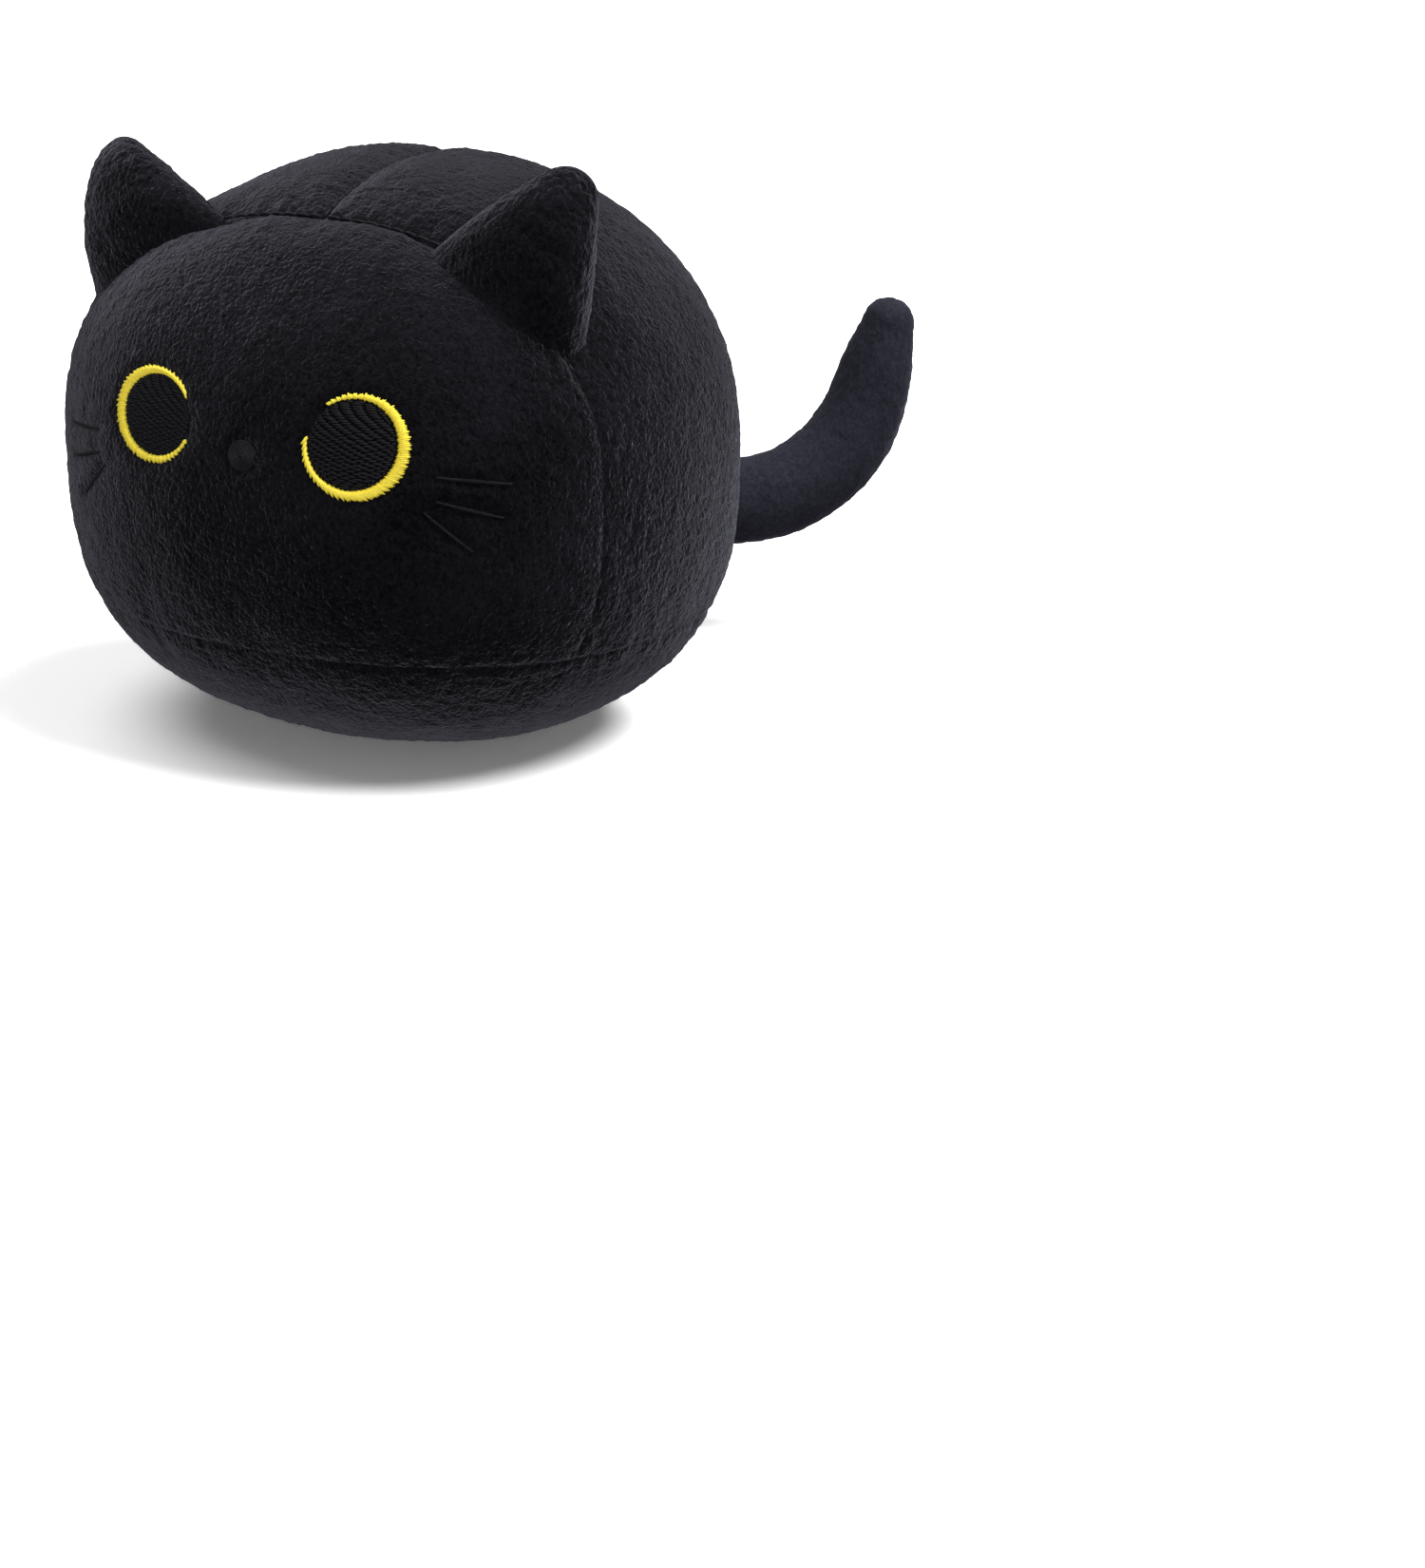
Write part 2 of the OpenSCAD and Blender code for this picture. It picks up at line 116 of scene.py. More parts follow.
def on_body(p):
    p = np.asarray(p, float)
    return p / reach(p)[..., None]


def out_to_surface(start, way):
    """The surface point that is reached from a start inside the body, found by halving steps."""
    low, high = 0.0, 0.2
    for _ in range(40):
        mid = (low + high) / 2
        low, high = (mid, high) if reach(start + way * mid) < 1 else (low, mid)
    return start + way * low


def body_normal(p):
    """Outward normal of the surface through p, by differences."""
    step = 0.2 * MM
    g = np.stack([reach(p + step * e) - reach(p - step * e) for e in np.eye(3)], -1)
    return unit(g)


def grain(points, scale, seed=0.0):
    """Smooth noise from -1 to 1 at points, with features of about the given size."""
    s = 1 / scale
    return np.array([noise.noise((x * s + seed, y * s - seed, z * s + 2 * seed)) for x, y, z in points])


def evenly(points, n):
    """A curve through many points, as n equal steps."""
    d = np.concatenate([[0], np.cumsum(np.linalg.norm(np.diff(points, axis=0), axis=1))])
    t = np.linspace(0, d[-1], n + 1)
    return np.stack([np.interp(t, d, points[:, i]) for i in range(3)], -1)


def patch(bottom, top, left, right):
    """A grid of points between four edges."""
    u = np.linspace(0, 1, len(bottom))[None, :, None]
    v = np.linspace(0, 1, len(left))[:, None, None]
    flat = (1 - v) * bottom[None] + v * top[None] + (1 - u) * left[:, None] + u * right[:, None]
    corners = ((1 - u) * (1 - v) * bottom[0] + u * (1 - v) * bottom[-1]
               + (1 - u) * v * top[0] + u * v * top[-1])
    return flat - corners


def grid_faces(rows, cols, start=0, closed=False):
    """Quads of a grid of points that are stored row by row."""
    out = []
    for r in range(rows - 1):
        for c in range(cols if closed else cols - 1):
            a, b = start + r * cols + c, start + r * cols + (c + 1) % cols
            out.append((a, b, b + cols, a + cols))
    return out


def mesh_object(name, points, faces):
    mesh = bpy.data.meshes.new(name)
    mesh.from_pydata([tuple(p) for p in points], [], faces)
    mesh.update()
    obj = bpy.data.objects.new(name, mesh)
    bpy.context.scene.collection.objects.link(obj)
    for polygon in mesh.polygons:
        polygon.use_smooth = True
    return obj


def points_of(obj):
    co = np.empty(len(obj.data.vertices) * 3)
    obj.data.vertices.foreach_get("co", co)
    return co.reshape(-1, 3)


def normals_of(obj):
    no = np.empty(len(obj.data.vertices) * 3)
    obj.data.vertices.foreach_get("normal", no)
    return no.reshape(-1, 3)


def move_points(obj, points):
    obj.data.vertices.foreach_set("co", np.asarray(points, float).ravel())
    obj.data.update()


def apply_modifiers(obj):
    dg = bpy.context.evaluated_depsgraph_get()
    mesh = bpy.data.meshes.new_from_object(obj.evaluated_get(dg))
    obj.modifiers.clear()
    obj.data = mesh


def subdivide(obj, levels):
    m = obj.modifiers.new("smooth", "SUBSURF")
    m.levels = m.render_levels = levels
    m.boundary_smooth = "PRESERVE_CORNERS"
    apply_modifiers(obj)


def place_key(v):
    return tuple(round(c, 7) for c in v.co)


def turn_in_edges(obj, depth):
    """Folds a piece's open edges inward, as the turned-in edge of a seam, with a crisp fold."""
    bm = bmesh.new()
    bm.from_mesh(obj.data)
    bm.normal_update()
    open_edges = [e for e in bm.edges if e.is_boundary]
    outward = {place_key(v): v.normal.copy() for e in open_edges for v in e.verts}
    made = bmesh.ops.extrude_edge_only(bm, edges=open_edges)["geom"]
    for e in open_edges:
        e.smooth = False
    for v in (g for g in made if isinstance(g, bmesh.types.BMVert)):
        v.co -= outward[place_key(v)] * depth
    bm.to_mesh(obj.data)
    bm.free()
    for polygon in obj.data.polygons:
        polygon.use_smooth = True


# ---- Materials ----

def new_material(name):
    mat = bpy.data.materials.new(name)
    mat.use_nodes = True
    return mat, mat.node_tree.nodes, mat.node_tree.links, mat.node_tree.nodes["Principled BSDF"]


def ramp(nodes, stops):
    node = nodes.new("ShaderNodeValToRGB")
    for i, (at, colour) in enumerate(stops):
        e = node.color_ramp.elements[i] if i < 2 else node.color_ramp.elements.new(at)
        e.position = at
        e.color = (*colour, 1)
    return node


def plush_material(name, deep, tip, sheen, sheen_tint, pile, bump):
    """Short-pile plush: the fabric's own colour at the tufts' tips, with painted shade making it dark between
    the tufts, and a soft sheen.
    """
    mat, nodes, links, bsdf = new_material(name)
    where = nodes.new("ShaderNodeTexCoord")
    stretch = nodes.new("ShaderNodeMapping")
    stretch.inputs["Scale"].default_value = (1.0, 1.0, 0.8)
    links.new(where.outputs["Object"], stretch.inputs["Vector"])
    tufts = nodes.new("ShaderNodeTexNoise")
    tufts.inputs["Scale"].default_value = 1 / pile
    tufts.inputs["Detail"].default_value = 3
    tufts.inputs["Roughness"].default_value = 0.62
    tufts.inputs["Distortion"].default_value = 0.6
    links.new(stretch.outputs["Vector"], tufts.inputs["Vector"])
    brushed = nodes.new("ShaderNodeTexNoise")
    brushed.inputs["Scale"].default_value = 0.045 / pile
    brushed.inputs["Detail"].default_value = 4
    links.new(where.outputs["Object"], brushed.inputs["Vector"])
    both = nodes.new("ShaderNodeMix")
    both.inputs["Factor"].default_value = 0.3
    links.new(tufts.outputs["Fac"], both.inputs[2])
    links.new(brushed.outputs["Fac"], both.inputs[3])
    # painted shade: the colour darkens where the tuft noise, which also drives the bump, is low, in the
    # hollows between the tufts; the tip colour is the fabric's own, and the brushed noise adds random tone
    colour = ramp(nodes, [(0.36, deep), (0.64, tip)])
    links.new(both.outputs[0], colour.inputs["Fac"])
    links.new(colour.outputs["Color"], bsdf.inputs["Base Color"])
    height = nodes.new("ShaderNodeBump")
    height.inputs["Strength"].default_value = bump
    height.inputs["Distance"].default_value = 0.9 * MM
    links.new(tufts.outputs["Fac"], height.inputs["Height"])
    links.new(height.outputs["Normal"], bsdf.inputs["Normal"])
    bsdf.inputs["Roughness"].default_value = 0.9
    bsdf.inputs["Specular IOR Level"].default_value = 0.06
    bsdf.inputs["Sheen Weight"].default_value = sheen
    bsdf.inputs["Sheen Roughness"].default_value = 0.36
    bsdf.inputs["Sheen Tint"].default_value = (*sheen_tint, 1)
    return mat


def thread_material(name, dark, light, gloss, strand):
    """Twisted embroidery thread with fine strands and a satin gloss."""
    mat, nodes, links, bsdf = new_material(name)
    where = nodes.new("ShaderNodeTexCoord")
    strands = nodes.new("ShaderNodeTexNoise")
    strands.inputs["Scale"].default_value = 1 / strand
    strands.inputs["Detail"].default_value = 2
    links.new(where.outputs["Object"], strands.inputs["Vector"])
    colour = ramp(nodes, [(0.3, dark), (0.7, light)])
    links.new(strands.outputs["Fac"], colour.inputs["Fac"])
    links.new(colour.outputs["Color"], bsdf.inputs["Base Color"])
    height = nodes.new("ShaderNodeBump")
    height.inputs["Strength"].default_value = 0.35
    height.inputs["Distance"].default_value = 0.15 * MM
    links.new(strands.outputs["Fac"], height.inputs["Height"])
    links.new(height.outputs["Normal"], bsdf.inputs["Normal"])
    bsdf.inputs["Roughness"].default_value = 0.5
    bsdf.inputs["Specular IOR Level"].default_value = gloss
    return mat


# in each plush below, deep is the painted shade between the tufts and tip is the fabric's own colour
PLUSH = plush_material("plush", deep=(0.0003, 0.0002, 0.0006), tip=(0.0078, 0.0073, 0.0102),
                       sheen=0.2, sheen_tint=(0.84, 0.84, 1.0), pile=1.2 * MM, bump=1.0)
TAIL_PLUSH = plush_material("tail_plush", deep=(0.012, 0.012, 0.018), tip=(0.027, 0.027, 0.04),
                            sheen=0.11, sheen_tint=(0.8, 0.8, 1.0), pile=1.1 * MM, bump=0.4)
BLACK_THREAD = thread_material("black_thread", dark=(0.003, 0.003, 0.004), light=(0.012, 0.012, 0.016),
                               gloss=0.14, strand=0.35 * MM)
YELLOW_THREAD = thread_material("yellow_thread", dark=(0.92, 0.68, 0.03), light=(1.0, 0.88, 0.09),
                                gloss=0.4, strand=0.3 * MM)
GREY_THREAD = thread_material("grey_thread", dark=(0.005, 0.005, 0.006), light=(0.016, 0.016, 0.019),
                              gloss=0.18, strand=0.35 * MM)
FILLING = plush_material("filling", deep=(0.6, 0.59, 0.55), tip=(0.85, 0.84, 0.8),
                         sheen=0.3, sheen_tint=(1, 1, 1), pile=2.5 * MM, bump=0.8)


def paint(obj, mat):
    obj.data.materials.clear()
    obj.data.materials.append(mat)


def with_pile(obj, relief, share=1.0):
    """Raises the plush pile and other relief on a finished piece, where a share of 0 leaves it as it is."""
    p, n = points_of(obj), normals_of(obj)
    move_points(obj, p + n * ((pile(p - CENTRE) + relief) * share)[:, None])


def edge_share(obj, width):
    """0 on a piece's open edges, rising to 1 at a distance from them."""
    bm = bmesh.new()
    bm.from_mesh(obj.data)
    tree = KDTree(sum(v.is_boundary for v in bm.verts))
    for v in bm.verts:
        if v.is_boundary:
            tree.insert(v.co, v.index)
    tree.balance()
    out = np.array([tree.find(v.co)[2] for v in bm.verts])
    bm.free()
    return smooth(out / width)


# ---- Ear frame: along its base, up, and toward the front, on the cat's left side ----

EAR_HINGE = np.array(joints["left_ear_flex"]["pos_m"])
EAR_ALONG = unit(joints["left_ear_flex"]["axis"])
EAR_FACING = unit(np.cross(EAR_ALONG, (18, 12, 30)))
EAR_UP = np.cross(EAR_FACING, EAR_ALONG)
EAR_BASE = on_body(EAR_HINGE - CENTRE)
EARS = {
    # inner and outer ends of the base, how far the outer end lies lower, lean of both edges, radius of the
    # tip, thickness toward the front and back, its swell, and how far the foot spreads over the face
    "left": {"inner": 25.5, "outer": 30, "drop": 2.3, "lean_in": 0.494, "lean_out": 0.687, "tip_r": 8.9,
             "front": 14.5, "back": 10.5, "bulge": 0.14, "flare": 8.0},
    "right": {"inner": 29.0, "outer": 32.5, "drop": 2.3, "lean_in": 0.68, "lean_out": 0.77, "tip_r": 11.3,
              "front": 12.5, "back": 12.5, "bulge": 0.05, "flare": 0.6},
}


def ear_ends():
    """Places where the fabric dips beside an ear: the inner end of each, and the left ear's outer end."""
    out = []
    for side, e in EARS.items():
        flip = [1 if side == "left" else -1, 1, 1]
        out.append(on_body(EAR_BASE - EAR_ALONG * e["inner"] * MM) * flip)
        if side == "left":
            out.append(on_body(EAR_BASE + EAR_ALONG * e["outer"] * MM) * flip)
    return out


# ---- Body ----

TOP_CELLS = 40                       # mesh steps across the face
SIDE_CELLS = 26                      # up each side of it
RIM_CELLS = 44                       # along each side of the base
ARCH_CELLS = SIDE_CELLS + TOP_CELLS // 2
RELAX_STEPS, RELAX_SHARE = 40, 0.6   # how the points are spread evenly over each panel


def seam_curves():
    """Points in even steps along each seam, from the body's centre. Arch and side are those at +X."""
    base = BASE_SEAM_Z - WIDEST_Z
    dense = 800
    # The face seam lies in one upright plane, and its arch ends where it meets the base seam
    seam_mid = np.array([0, FACE_SEAM_Y, 0])
    angles = np.linspace(-math.pi / 2, math.pi / 2, dense)
    arch = np.array([out_to_surface(seam_mid, np.array([math.cos(a), 0, math.sin(a)])) for a in angles])
    keep = arch[:, 2] >= base
    first = np.argmax(keep)
    t = (base - arch[first - 1, 2]) / (arch[first, 2] - arch[first - 1, 2])
    corner = mix(arch[first - 1], arch[first], t)
    arch = np.vstack([corner, arch[first:]])
    # The base seam is level, and is split where the face seam meets it
    around = np.linspace(-math.pi, math.pi, 4 * dense)
    level_mid = np.array([0, 0, base])
    level = np.array([out_to_surface(level_mid, np.array([math.cos(a), math.sin(a), 0])) for a in around])
    front = level[level[:, 1] < corner[1]]
    front = front[np.argsort(front[:, 0])]
    front = np.vstack([corner * [-1, 1, 1], front, corner])
    side = level[(level[:, 1] > corner[1]) & (level[:, 0] > 0)]
    side = side[np.argsort(np.arctan2(side[:, 1], side[:, 0]))]
    back = out_to_surface(level_mid, np.array([0, 1, 0]))
    side = np.vstack([corner, side, back])
    # The centre seam runs over the top in the middle plane, and down the back to the base seam
    turn = np.linspace(0, math.pi / 2, dense)
    over = np.stack([np.zeros(dense), -np.cos(turn * 2) * 0.2, np.sin(turn * 2) * 0.2], -1)
    down = np.stack([np.zeros(dense), np.full(dense, 0.2), -turn * 0.13], -1)
    centre = on_body(np.vstack([over, down]))
    top = arch[-1]
    centre = centre[(centre[:, 1] > top[1]) & (centre[:, 2] > base)]
    centre = np.vstack([top, centre, back])
    return {"arch": evenly(arch, ARCH_CELLS), "front": evenly(front, TOP_CELLS),
            "side": evenly(side, RIM_CELLS), "centre": evenly(centre, RIM_CELLS + ARCH_CELLS)}


def mirrored(points):
    return points * np.array([-1, 1, 1])


def body_grids():
    c = seam_curves()
    arch, front, side, centre = c["arch"], c["front"], c["side"], c["centre"]
    top = np.vstack([mirrored(arch[SIDE_CELLS:]), arch[SIDE_CELLS:][::-1][1:]])
    face = patch(front, top, mirrored(arch[:SIDE_CELLS + 1]), arch[:SIDE_CELLS + 1])
    left = patch(side, centre[:RIM_CELLS + 1], arch, centre[RIM_CELLS:][::-1])
    turn = RIM_CELLS - TOP_CELLS // 2
    back = np.vstack([mirrored(side[turn:]), side[turn:][::-1][1:]])
    base = patch(front, back, mirrored(side[:turn + 1]), side[:turn + 1])
    return {"face_panel": face, "left_side_panel": left, "right_side_panel": mirrored(left),
            "base_panel": base}


def body_shell():
    """One closed mesh of the four panels, joined at the seams, with each quad's panel and the seam points."""
    points, faces, panel = [], [], []
    for k, grid in enumerate(body_grids().values()):
        rows, cols, _ = grid.shape
        flat = on_body(grid.reshape(-1, 3))
        quads = np.array(grid_faces(rows, cols))
        mid = len(quads) // 2 + cols // 2
        a, b, _, d = flat[quads[mid]]
        if np.dot(np.cross(b - a, d - a), a) < 0:
            quads = quads[:, ::-1]
        faces.append(quads + sum(len(p) for p in points))
        points.append(flat)
        panel += [k] * len(quads)
    owner = np.concatenate([[k] * len(p) for k, p in enumerate(points)])
    points, faces = np.vstack(points), np.vstack(faces)
    _, first, back = np.unique(np.round(points, 6), axis=0, return_index=True, return_inverse=True)
    back = back.ravel()
    on_seam = np.array([len(s) > 1 for s in shared_owners(back, owner, len(first))])
    points, faces = points[first], back[faces]
    neighbours = mean_of_neighbours(len(points), faces)
    for _ in range(RELAX_STEPS):
        moved = on_body(mix(points, neighbours(points), RELAX_SHARE))
        points = np.where(on_seam[:, None], points, moved)
    points[:, 2] = np.maximum(points[:, 2], -WIDEST_Z)
    return points, faces, np.array(panel), on_seam


def shared_owners(back, owner, n):
    """The panels that meet at each of n points."""
    out = [set() for _ in range(n)]
    for i, k in zip(back, owner):
        out[i].add(k)
    return out


def mean_of_neighbours(n, faces):
    """A function that averages a value over each point's neighbours along the mesh's edges."""
    pairs = np.unique(np.sort(np.vstack([faces[:, [i, (i + 1) % 4]] for i in range(4)]), axis=1), axis=0)
    a = np.concatenate([pairs[:, 0], pairs[:, 1]])
    b = np.concatenate([pairs[:, 1], pairs[:, 0]])
    count = np.bincount(a, minlength=n)[:, None]

    def mean(values):
        total = np.zeros_like(values)
        np.add.at(total, a, values[b])
        return total / np.maximum(count, 1)
    return mean


PUFF_CAP = 6 * MM                    # the furthest that the filling may push the fabric
PUFF_SHARE, LOW_PUFF_SHARE = 0.45, 0.12   # how much of its push is kept on the crown, and lower down
PUFF_FRAMES = 20
SLACK = -0.025                       # spare fabric, which puckers where it is gathered into the seams


def puffed(points, faces, on_seam):
    """The shell once the filling has pressed the fabric out between its seams, which stay where they are."""
    obj = mesh_object("shell", points + CENTRE, [tuple(int(i) for i in f) for f in faces])
    group = obj.vertex_groups.new(name="seams")
    group.add([int(i) for i in np.nonzero(on_seam)[0]], 1.0, "REPLACE")
    cloth = obj.modifiers.new("cloth", "CLOTH")
    s = cloth.settings
    s.quality = 6
    s.mass = 0.25
    s.tension_stiffness = s.compression_stiffness = 25
    s.shear_stiffness = 10
    s.bending_stiffness = 0.4
    s.air_damping = 3
    s.use_pressure = True
    s.uniform_pressure_force = 4
    s.shrink_min = SLACK
    s.effector_weights.gravity = 0
    s.vertex_group_mass = "seams"
    s.pin_stiffness = 5
    cloth.collision_settings.use_collision = False
    scene = bpy.context.scene
    for f in range(1, PUFF_FRAMES + 1):
        scene.frame_set(f)
    apply_modifiers(obj)
    moved = points_of(obj) - CENTRE - points
    bpy.data.objects.remove(obj)
    scene.frame_set(1)
    far = np.linalg.norm(moved, axis=1, keepdims=True)
    moved *= np.minimum(1, PUFF_CAP / np.maximum(far, 1e-9))
    out = np.einsum("ij,ij->i", moved, body_normal(points))
    rise = np.median(out[~on_seam])
    print("puff: median", round(rise / MM, 2), "mm, most", round(out.max() / MM, 2), "mm")
    share = mix(LOW_PUFF_SHARE, PUFF_SHARE, smooth((points[:, 2:] - 10 * MM) / (40 * MM)))
    return points + share * (moved - rise * body_normal(points))


SEAM_R = 80 * MM                     # rough radius of each seam, which turns an angle into a distance


def seam_distance(p):
    """Distance of points from the nearest seam, and a coordinate along it, with the body's centre as zero."""
    base = BASE_SEAM_Z - WIDEST_Z
    to_base = np.abs(p[:, 2] - base)
    to_face = np.where(p[:, 2] > base, np.abs(p[:, 1] - FACE_SEAM_Y), 1.0)
    to_centre = np.where((p[:, 2] > base) & (p[:, 1] > FACE_SEAM_Y), np.abs(p[:, 0]), 1.0)
    nearest = np.argmin([to_base, to_face, to_centre], axis=0)
    turns = [np.arctan2(p[:, 1], p[:, 0]), np.arctan2(p[:, 2], p[:, 0]), np.arctan2(p[:, 2], p[:, 1])]
    return np.min([to_base, to_face, to_centre], axis=0), np.choose(nearest, turns) * SEAM_R


def eye_distance(p, side):
    x, z = EYES[side]
    return np.where(p[:, 1] < 0, np.hypot(p[:, 0] - x, (p[:, 2] - z) / EYE_FLAT[side]), 1.0)


def whisker_distance(p):
    """Distance of points from the nearest whisker's line, seen from the front."""
    flat = np.stack([np.abs(p[:, 0]), p[:, 2]], -1)
    out = np.full(len(p), 1.0)
    for ends in WHISKERS:
        a, b = np.array(ends) * MM
        t = np.clip((flat - a) @ (b - a) / np.dot(b - a, b - a), 0, 1)
        out = np.minimum(out, np.linalg.norm(flat - a - t[:, None] * (b - a), axis=1))
    return np.where(p[:, 1] < 0, out, 1.0)


DENT, DENT_R = 4.4 * MM, 28 * MM     # the dome is a little sunk behind the right ear's inner end
DENT_AT = np.array([-0.052, -0.020, 0.0705])
GROOVE, GROOVE_R = (0.35, 0.9), 0.9 * MM      # a seam's groove: depth low down and on the crown, and width
VALLEY, VALLEY_R = (0.15, 1.6), 5.5 * MM      # the wider valley round it. Both depths are in millimetres
GATHER, GATHER_STEP = 0.6 * MM, 3.2 * MM      # puckers beside the seams, and their spacing
LIFT = 0.5 * MM                               # raises the whole fabric a little
WAVES = ((0.6 * MM, 38 * MM, 7.7), (0.3 * MM, 13 * MM, 2.2))   # height, size and seed of the fabric's waves
STITCH_DEEP = 0.9 * MM                        # hollow under an eye or the nose
WHISKER_DEEP = 0.7 * MM                       # hollow under a whisker
FOLD, FOLD_STEP = 0.35 * MM, 2.6 * MM         # folds beside a whisker, and their spacing
EAR_DIP, EAR_DIP_R = 1.6 * MM, 11 * MM        # dip at the end of an ear


def nose_distance(p):
    return np.where(p[:, 1] < 0, np.hypot(p[:, 0] - NOSE[0], p[:, 2] - NOSE[1]), 1.0)


def fabric_relief(p):
    """Height of the sewn fabric's own relief: grooves and gathers at the seams, hollows under stitches."""
    d, along = seam_distance(p)
    crown = smooth((p[:, 2] - 30 * MM) / (30 * MM))
    relief = -mix(*GROOVE, crown) * MM * np.exp(-(d / GROOVE_R) ** 2)
    relief -= mix(*VALLEY, crown) * MM * np.exp(-(d / VALLEY_R) ** 1.5)
    steps = np.stack([along, d * 0.25, np.zeros_like(d)], -1)
    relief += GATHER * np.exp(-d / (9 * MM)) * grain(steps, GATHER_STEP, 3.1) * smooth(d / (2 * MM))
    relief += LIFT
    for height, size, seed in WAVES:
        relief += height * grain(p, size, seed)
    for side in EYES:
        relief -= STITCH_DEEP * (1 - smooth((eye_distance(p, side) - EYE_R[side] + 1 * MM) / (3.5 * MM)))
    relief -= STITCH_DEEP * (1 - smooth((nose_distance(p) - 3.5 * MM) / (3 * MM)))
    w = whisker_distance(p)
    relief -= WHISKER_DEEP * (1 - smooth(w / (3.5 * MM)))
    folds = np.cos(2 * math.pi * w / FOLD_STEP) * np.exp(-w / (4 * MM)) * smooth(w / (1.5 * MM))
    relief += FOLD * folds
    for end in ear_ends():
        relief -= EAR_DIP * np.exp(-(np.linalg.norm(p - end, axis=1) / EAR_DIP_R) ** 2)
    relief -= DENT * np.exp(-(np.linalg.norm(p - on_body(DENT_AT), axis=1) / DENT_R) ** 2)
    return relief


def pile(p):
    """Height of the plush pile's tufts: fine ones, a little taller than wide, and coarser clumps."""
    return 0.38 * MM * grain(p * [1, 1, 0.75], 1.6 * MM, 5.0) + 0.22 * MM * grain(p, 3.4 * MM, 9.0)


def stitched_area(p):
    """1 where embroidery presses the pile flat, 0 elsewhere."""
    flat = np.zeros(len(p))
    for side in EYES:
        flat = np.maximum(flat, 1 - smooth((eye_distance(p, side) - EYE_R[side]) / (1.5 * MM)))
    flat = np.maximum(flat, 1 - smooth((nose_distance(p) - NOSE_R) / (1.5 * MM)))
    return np.maximum(flat, 1 - smooth((whisker_distance(p) - 0.6 * WHISKER_W) / (1.2 * MM)))


SEAM_FOLD = 3 * MM                   # how deep a panel's edge is turned in
UNDER_STITCHES = 0.15                # share of the pile's height that is left under embroidery


def make_body():
    points, faces, panel, on_seam = body_shell()
    points = puffed(points, faces, on_seam)
    whole = mesh_object("whole", points, [tuple(int(i) for i in f) for f in faces])
    for polygon, k in zip(whole.data.polygons, panel):
        polygon.material_index = int(k)
    for _ in PANELS:
        whole.data.materials.append(PLUSH)
    subdivide(whole, 2)
    p = points_of(whole)
    n = normals_of(whole)
    p = p + n * (fabric_relief(p) + pile(p) * (1 - (1 - UNDER_STITCHES) * stitched_area(p)))[:, None]
    p[:, 2] = np.maximum(p[:, 2], -WIDEST_Z)
    move_points(whole, p + CENTRE)
    index = np.empty(len(whole.data.polygons), int)
    whole.data.polygons.foreach_get("material_index", index)
    made = {}
    for k, name in enumerate(PANELS):
        piece = whole.copy()
        piece.data = whole.data.copy()
        piece.name = name + "_plush"
        bpy.context.scene.collection.objects.link(piece)
        bm = bmesh.new()
        bm.from_mesh(piece.data)
        bmesh.ops.delete(bm, geom=[f for f in bm.faces if f.material_index != k], context="FACES")
        for f in bm.faces:
            f.material_index = 0
        bm.to_mesh(piece.data)
        bm.free()
        turn_in_edges(piece, SEAM_FOLD)
        paint(piece, PLUSH)
        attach(piece, "body")
        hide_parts(name)
        made[name] = piece
    bpy.data.objects.remove(whole)
    return made


body = make_body()


# ---- Filling and seam threads of the body ----

FILLING_SHARE = 0.94                 # size of the filling beside the body's surface


def body_filling():
    points, faces = [], []
    for grid in body_grids().values():
        rows, cols, _ = grid.shape
        faces += grid_faces(rows, cols, start=sum(len(p) for p in points))
        points.append(on_body(grid.reshape(-1, 3)) * FILLING_SHARE)
    piece = mesh_object("body_filling", np.vstack(points) + CENTRE, faces)
    bm = bmesh.new()
    bm.from_mesh(piece.data)
    bmesh.ops.remove_doubles(bm, verts=bm.verts, dist=0.1 * MM)
    bmesh.ops.recalc_face_normals(bm, faces=bm.faces)
    bm.to_mesh(piece.data)
    bm.free()
    paint(piece, FILLING)
    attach(piece, "body")
    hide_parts("body_stuffing")


THREAD_SIDES = 6
SEAM_THREAD_R, SEAM_THREAD_DEEP = 0.45 * MM, 2.7 * MM
SEAM_STEP = 1.0 * MM                 # spacing of the points along a stitch, which has four steps


def thread(path, normals, radius):
    """A round thread along a path, as points and faces. It narrows at both ends."""
    n = len(path)
    ahead = unit(np.gradient(path, axis=0))
    side = unit(np.cross(ahead, normals))
    up = np.cross(side, ahead)
    share = np.ones(n)
    share[0] = share[-1] = 0.5
    a = 2 * math.pi * np.arange(THREAD_SIDES) / THREAD_SIDES
    rings = path[:, None] + radius * share[:, None, None] * (
        np.cos(a)[None, :, None] * side[:, None] + np.sin(a)[None, :, None] * up[:, None])
    faces = grid_faces(n, THREAD_SIDES, closed=True)
    faces.append(tuple(range(THREAD_SIDES))[::-1])
    faces.append(tuple((n - 1) * THREAD_SIDES + i for i in range(THREAD_SIDES)))
    return rings.reshape(-1, 3), faces


def thread_object(name, threads, node, mat):
    """One piece made of many threads, which stands in for a node."""
    points, faces, start = [], [], 0
    for p, f in threads:
        points.append(p)
        faces += [tuple(i + start for i in face) for face in f]
        start += len(p)
    piece = mesh_object(name, np.vstack(points), faces)
    paint(piece, mat)
    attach(piece, "body")
    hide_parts(node)


def running_stitches(curve, depth):
    """Stitches that lie in a seam's groove, at a depth below the surface."""
    normals = body_normal(curve)
    low = curve - normals * depth + CENTRE
    steps = evenly(low, int(np.linalg.norm(np.diff(low, axis=0), axis=1).sum() / SEAM_STEP))
    out = []
    for i in range(0, len(steps) - 4, 4):
        path = steps[i:i + 5].copy()
        up = body_normal(path - CENTRE)
        path += up * (0.35 * MM * np.sin(np.linspace(0, math.pi, 5)))[:, None]
        out.append(thread(path, up, SEAM_THREAD_R))
    return out


